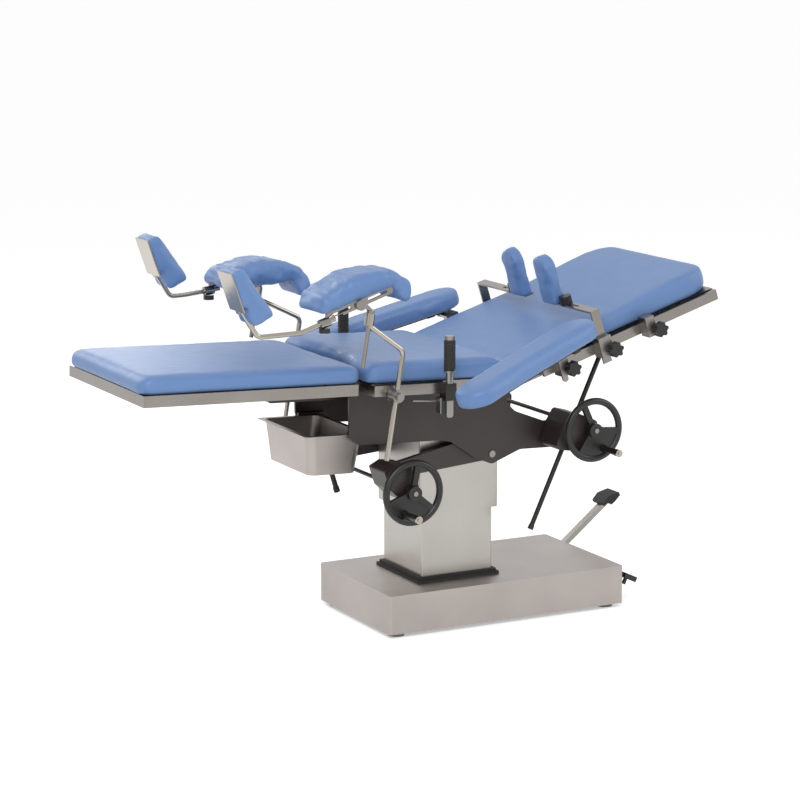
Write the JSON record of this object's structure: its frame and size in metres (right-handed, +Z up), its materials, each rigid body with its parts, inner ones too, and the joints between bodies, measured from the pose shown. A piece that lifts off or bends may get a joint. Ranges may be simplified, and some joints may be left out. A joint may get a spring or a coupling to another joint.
{
  "type": "operating table",
  "caption": "Hydraulic obstetric operating table with raised back, pull-off leg section, basin, leg crutches, foot rests, arm rests and handwheel drives.",
  "frame": {"origin": "on the floor under the middle of the rectangular base", "axes": "+Z up, +X along the table towards the head end with the pedals, +Y towards the side without handwheels"},
  "size_m": [1.8294, 1.114, 1.1311],
  "materials": {
    "black_plastic": "moulded",
    "black_rubber": "matt",
    "blue_vinyl": "soft vinyl over foam",
    "dark_enamel": "semi-matt enamel",
    "grey_plastic": "moulded",
    "stainless": "satin brushed",
    "steel": "machined"
  },
  "bodies": {
    "base": {"base_cover": "stainless", "base_chassis": "steel", "floor_feet": "grey_plastic", "column_gasket": "black_rubber", "lower_cover": "stainless", "column_tube": "steel", "hydraulic_cylinder": "steel"},
    "pump_lever": {"pump_lever": "stainless", "pump_pad": "black_rubber"},
    "release_pedal": {"release_pedal": "dark_enamel"},
    "lift": {"inner_tube": "steel", "ram": "steel", "upper_cover": "stainless", "column_head": "dark_enamel", "tilt_gearbox": "dark_enamel"},
    "tilt_handwheel": {"tilt_handwheel": "black_plastic"},
    "tilt_crank": {"tilt_crank": "black_plastic"},
    "tilt_cross_shaft": {"tilt_cross_shaft": "steel"},
    "tilt_nut_box": {"tilt_nut_box": "dark_enamel"},
    "tilt_screw": {"tilt_screw": "steel"},
    "table": {"tilt_shaft": "steel", "side_plates": "dark_enamel", "carrier_frame": "dark_enamel", "seat_frame": "stainless", "seat_pad": "blue_vinyl", "seat_clamps": "stainless"},
    "leg_section": {"leg_frame": "stainless", "leg_pad": "blue_vinyl"},
    "basin": {"basin": "stainless"},
    "back": {"back_frame": "stainless", "back_pad": "blue_vinyl", "back_clamps": "stainless"},
    "back_gearboxes": {"back_gearboxes": "dark_enamel"},
    "back_cross_shaft": {"back_cross_shaft": "steel"},
    "back_handwheel": {"back_handwheel": "black_plastic"},
    "back_crank": {"back_crank": "black_plastic"},
    "back_screws": {"back_screws": "steel"},
    "hand_grip_near": {"hand_grip_near": "black_plastic"},
    "hand_grip_far": {"hand_grip_far": "black_plastic"},
    "arm_knob": {"arm_knob": "black_plastic"},
    "shoulder_knob": {"shoulder_knob": "black_plastic"},
    "spare_knob": {"spare_knob": "black_plastic"},
    "arm_rest_near": {"arm_plate_near": "black_plastic", "arm_pad_near": "blue_vinyl"},
    "shoulder_support_near": {"shoulder_bracket_near": "stainless", "shoulder_pad_near": "blue_vinyl"},
    "leg_post_near": {"leg_post_near": "stainless"},
    "crutch_near": {"crutch_bracket_near": "stainless", "crutch_pad_near": "blue_vinyl"},
    "foot_rest_near": {"foot_rest_near": "stainless", "foot_pad_near": "blue_vinyl"},
    "arm_rest_far": {"arm_plate_far": "black_plastic", "arm_pad_far": "blue_vinyl"},
    "shoulder_support_far": {"shoulder_bracket_far": "stainless", "shoulder_pad_far": "blue_vinyl"},
    "leg_post_far": {"leg_post_far": "stainless"},
    "crutch_far": {"crutch_bracket_far": "stainless", "crutch_pad_far": "blue_vinyl"},
    "foot_rest_far": {"foot_rest_far": "stainless", "foot_pad_far": "blue_vinyl"}
  },
  "joints": [
    {"name": "lift", "type": "slide", "parent": "base", "child": "lift", "axis": [0, 0, 1], "range_m": [-0.115, 0.1]},
    {"name": "pump_pedal", "type": "hinge", "parent": "base", "child": "pump_lever", "pos_m": [0.35, 0.14, 0.0685], "axis": [0, 1, 0], "range_deg": [0, 25], "stiffness_Nm_per_rad": 25, "springref_deg": -20.05},
    {"name": "release_pedal", "type": "hinge", "parent": "base", "child": "release_pedal", "pos_m": [0.372, -0.2, 0.108], "axis": [0, 1, 0], "range_deg": [0, 12], "stiffness_Nm_per_rad": 8, "springref_deg": -14.32},
    {"name": "table_tilt", "type": "hinge", "parent": "lift", "child": "table", "pos_m": [-0.034, 0, 0.5], "axis": [0, 1, 0], "range_deg": [-10, 12]},
    {"name": "tilt_handwheel_turn", "type": "hinge", "parent": "lift", "child": "tilt_handwheel", "pos_m": [-0.358, -0.302, 0.442], "axis": [0, -1, 0], "continuous": true},
    {"name": "tilt_crank_turn", "type": "hinge", "parent": "tilt_handwheel", "child": "tilt_crank", "pos_m": [-0.38705, -0.302, 0.38498], "axis": [0, -1, 0], "continuous": true},
    {"name": "tilt_shaft_turn", "type": "hinge", "parent": "lift", "child": "tilt_cross_shaft", "pos_m": [-0.405, 0, 0.463], "axis": [0, -1, 0], "continuous": true},
    {"name": "tilt_nut_swivel", "type": "hinge", "parent": "lift", "child": "tilt_nut_box", "pos_m": [-0.405, 0.212, 0.463], "axis": [0, 1, 0], "range_deg": [-20, 20]},
    {"name": "tilt_screw_travel", "type": "slide", "parent": "tilt_nut_box", "child": "tilt_screw", "axis": [-0.2924, 0, 0.9563], "range_m": [-0.09, 0.09]},
    {"name": "leg_pull_off", "type": "slide", "parent": "table", "child": "leg_section", "axis": [-0.9994, 0, 0.0349], "range_m": [0, 0.09]},
    {"name": "basin_pull_out", "type": "slide", "parent": "table", "child": "basin", "axis": [-0.9994, 0, 0.0349], "range_m": [0, 0.1]},
    {"name": "back_raise", "type": "hinge", "parent": "table", "child": "back", "pos_m": [-0.0228, 0, 0.73475], "axis": [0, -1, 0], "range_deg": [-19.3, 50.7]},
    {"name": "back_gearbox_swivel", "type": "hinge", "parent": "table", "child": "back_gearboxes", "pos_m": [0.18, 0, 0.592], "axis": [0, -1, 0], "range_deg": [-20, 40]},
    {"name": "back_shaft_turn", "type": "hinge", "parent": "table", "child": "back_cross_shaft", "pos_m": [0.18, 0, 0.592], "axis": [0, -1, 0], "continuous": true},
    {"name": "back_handwheel_turn", "type": "hinge", "parent": "back_gearboxes", "child": "back_handwheel", "pos_m": [0.236, -0.302, 0.567], "axis": [0, -1, 0], "continuous": true},
    {"name": "back_crank_turn", "type": "hinge", "parent": "back_handwheel", "child": "back_crank", "pos_m": [0.26703, -0.302, 0.51102], "axis": [0, -1, 0], "continuous": true},
    {"name": "back_screw_travel", "type": "slide", "parent": "back_gearboxes", "child": "back_screws", "axis": [0.421, 0, 0.907], "range_m": [-0.1, 0.23]},
    {"name": "hand_grip_lift_near", "type": "slide", "parent": "table", "child": "hand_grip_near", "axis": [0, 0, 1], "range_m": [0, 0.09]},
    {"name": "hand_grip_lift_far", "type": "slide", "parent": "table", "child": "hand_grip_far", "axis": [0, 0, 1], "range_m": [0, 0.09]},
    {"name": "arm_knob_turn", "type": "hinge", "parent": "back", "child": "arm_knob", "pos_m": [0.12744, -0.349, 0.76688], "axis": [0, -1, 0], "continuous": true},
    {"name": "shoulder_knob_turn", "type": "hinge", "parent": "back", "child": "shoulder_knob", "pos_m": [0.26875, -0.349, 0.8109], "axis": [0, -1, 0], "continuous": true},
    {"name": "spare_knob_turn", "type": "hinge", "parent": "back", "child": "spare_knob", "pos_m": [0.42055, -0.349, 0.85818], "axis": [0, -1, 0], "continuous": true},
    {"name": "arm_rest_swing_near", "type": "hinge", "parent": "back", "child": "arm_rest_near", "pos_m": [0.10317, -0.352, 0.83474], "axis": [-0.2974, 0, 0.9548], "range_deg": [-8, 60]},
    {"name": "shoulder_slide_near", "type": "slide", "parent": "back", "child": "shoulder_support_near", "axis": [-0.2974, 0, 0.9548], "range_m": [-0.03, 0.05]},
    {"name": "leg_post_turn_near", "type": "hinge", "parent": "table", "child": "leg_post_near", "pos_m": [-0.456, -0.33, 0.55], "axis": [0.1681, 0, 0.9858], "range_deg": [-12, 35]},
    {"name": "crutch_turn_near", "type": "hinge", "parent": "leg_post_near", "child": "crutch_near", "pos_m": [-0.511, -0.33, 0.935], "axis": [0.1616, 0, 0.9869], "range_deg": [-15, 35]},
    {"name": "foot_rod_slide_near", "type": "slide", "parent": "crutch_near", "child": "foot_rest_near", "axis": [-0.9563, 0, -0.2924], "range_m": [-0.02, 0.018]},
    {"name": "arm_rest_swing_far", "type": "hinge", "parent": "back", "child": "arm_rest_far", "pos_m": [0.10317, 0.352, 0.83474], "axis": [0.2974, 0, -0.9548], "range_deg": [-8, 60]},
    {"name": "shoulder_slide_far", "type": "slide", "parent": "back", "child": "shoulder_support_far", "axis": [-0.2974, 0, 0.9548], "range_m": [-0.03, 0.05]},
    {"name": "leg_post_turn_far", "type": "hinge", "parent": "table", "child": "leg_post_far", "pos_m": [-0.456, 0.33, 0.55], "axis": [-0.1681, 0, -0.9858], "range_deg": [-12, 35]},
    {"name": "crutch_turn_far", "type": "hinge", "parent": "leg_post_far", "child": "crutch_far", "pos_m": [-0.546, 0.33, 0.925], "axis": [-0.1616, 0, -0.9869], "range_deg": [-15, 35]},
    {"name": "foot_rod_slide_far", "type": "slide", "parent": "crutch_far", "child": "foot_rest_far", "axis": [-0.9945, 0, -0.1045], "range_m": [-0.02, 0.018]}
  ],
  "couplings": [
    {"joint": "tilt_shaft_turn", "follows": "tilt_handwheel_turn", "ratio": 1},
    {"joint": "tilt_nut_swivel", "follows": "table_tilt", "ratio": 1.298},
    {"joint": "tilt_screw_travel", "follows": "table_tilt", "m_per_rad": 0.364},
    {"joint": "back_shaft_turn", "follows": "back_handwheel_turn", "ratio": 1},
    {"joint": "back_gearbox_swivel", "follows": "back_raise", "ratio": 0.6855},
    {"joint": "back_screw_travel", "follows": "back_raise", "m_per_rad": 0.2389}
  ]
}
